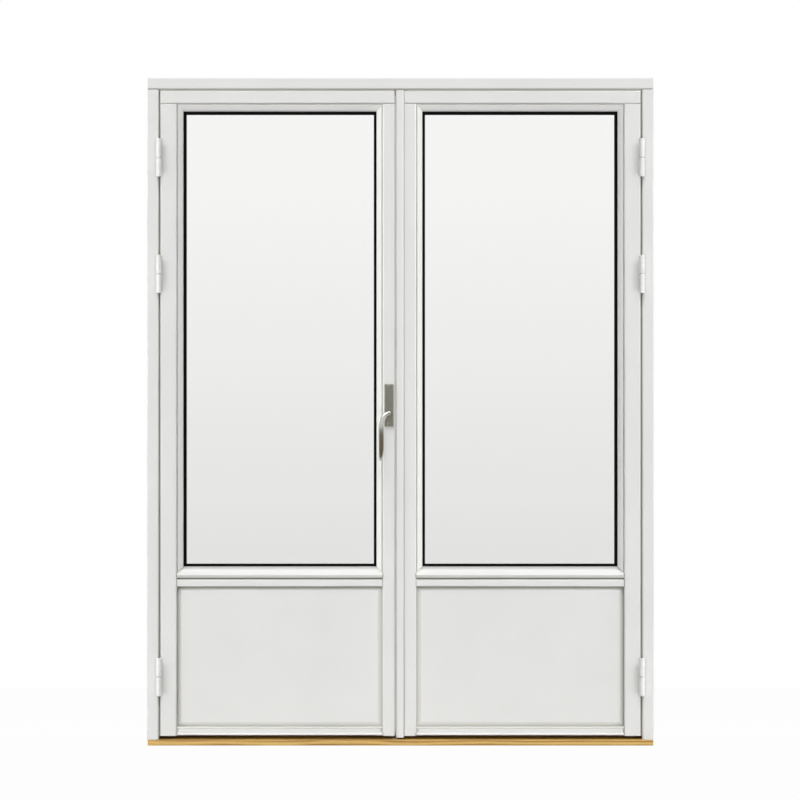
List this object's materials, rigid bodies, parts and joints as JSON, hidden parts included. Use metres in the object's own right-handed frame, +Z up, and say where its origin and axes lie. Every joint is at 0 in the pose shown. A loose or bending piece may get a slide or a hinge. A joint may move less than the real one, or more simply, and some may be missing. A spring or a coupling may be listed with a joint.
{
  "type": "french doors",
  "caption": "Pair of glazed french doors in a timber frame with oak sill, solid lower panels, lever handle, lift-off hinges and an espagnolette lock; both leaves swing outward.",
  "frame": {"origin": "centre of the sill's underside, at mid frame depth", "axes": "+Z up along the jambs, +Y into the building (the outside faces -Y), +X to the right seen from outside"},
  "size_m": [1.58, 0.1615, 2.08],
  "materials": {
    "paint": "white opaque paint, satin",
    "oak": "oiled oak",
    "glass": "clear float glass",
    "gasket": "black glazing rubber",
    "seal": "grey weather seal",
    "white_seal": "white weather strip",
    "spacer": "mill",
    "nickel": "satin nickel look",
    "white_metal": "white enamel",
    "steel": "zinc plated"
  },
  "bodies": {
    "frame": {"frame_head": "paint", "left_jamb": "paint", "right_jamb": "paint", "oak_sill": "oak", "frame_seal": "seal", "gap_seals": "white_seal", "head_strikes": "steel", "sill_strikes": "steel", "left_frame_hinges": "white_metal", "right_frame_hinges": "white_metal", "left_hinge_pins": "steel", "right_hinge_pins": "steel"},
    "active_leaf": {"active_top_rail": "paint", "active_hinge_stile": "paint", "active_meeting_stile": "paint", "active_mid_rail": "paint", "active_bottom_rail": "paint", "active_panel": "paint", "active_bead_top": "paint", "active_bead_hinge": "paint", "active_bead_meeting": "paint", "active_bead_bottom": "paint", "active_outer_pane": "glass", "active_inner_pane": "glass", "active_spacer": "spacer", "active_outer_gasket": "gasket", "active_inner_gasket": "gasket", "active_hinges": "white_metal", "outer_plate": "nickel", "inner_plate": "nickel", "plate_screws": "nickel", "lock_case": "steel", "edge_faceplate": "steel"},
    "handle": {"outer_lever": "nickel", "inner_lever": "nickel", "spindle": "steel", "pinion": "steel"},
    "upper_rod": {"upper_rod": "steel"},
    "lower_rod": {"lower_rod": "steel"},
    "passive_leaf": {"passive_top_rail": "paint", "passive_hinge_stile": "paint", "passive_meeting_stile": "paint", "passive_mid_rail": "paint", "passive_bottom_rail": "paint", "passive_panel": "paint", "passive_bead_top": "paint", "passive_bead_hinge": "paint", "passive_bead_meeting": "paint", "passive_bead_bottom": "paint", "passive_outer_pane": "glass", "passive_inner_pane": "glass", "passive_spacer": "spacer", "passive_outer_gasket": "gasket", "passive_inner_gasket": "gasket", "passive_hinges": "white_metal", "astragal": "paint", "astragal_seal": "white_seal", "bolt_plates": "steel"},
    "top_bolt": {"top_flush_bolt": "steel"},
    "bottom_bolt": {"bottom_flush_bolt": "steel"}
  },
  "joints": [
    {"name": "active_leaf_hinge", "type": "hinge", "parent": "frame", "child": "active_leaf", "pos_m": [-0.752, -0.067, 1.04], "axis": [0, 0, -1], "range_deg": [0, 110]},
    {"name": "passive_leaf_hinge", "type": "hinge", "parent": "frame", "child": "passive_leaf", "pos_m": [0.752, -0.067, 1.04], "axis": [0, 0, 1], "range_deg": [0, 110]},
    {"name": "handle_turn", "type": "hinge", "parent": "active_leaf", "child": "handle", "pos_m": [-0.03555, -0.028, 1.036], "axis": [0, 1, 0], "range_deg": [0, 90]},
    {"name": "upper_rod_slide", "type": "slide", "parent": "active_leaf", "child": "upper_rod", "axis": [0, 0, 1], "range_m": [0, 0.0101]},
    {"name": "lower_rod_slide", "type": "slide", "parent": "active_leaf", "child": "lower_rod", "axis": [0, 0, -1], "range_m": [0, 0.0101]},
    {"name": "top_bolt_slide", "type": "slide", "parent": "passive_leaf", "child": "top_bolt", "axis": [0, 0, 1], "range_m": [0, 0.014]},
    {"name": "bottom_bolt_slide", "type": "slide", "parent": "passive_leaf", "child": "bottom_bolt", "axis": [0, 0, -1], "range_m": [0, 0.014]}
  ],
  "couplings": [
    {"joint": "upper_rod_slide", "follows": "handle_turn", "m_per_rad": 0.0064},
    {"joint": "lower_rod_slide", "follows": "handle_turn", "m_per_rad": 0.0064}
  ]
}
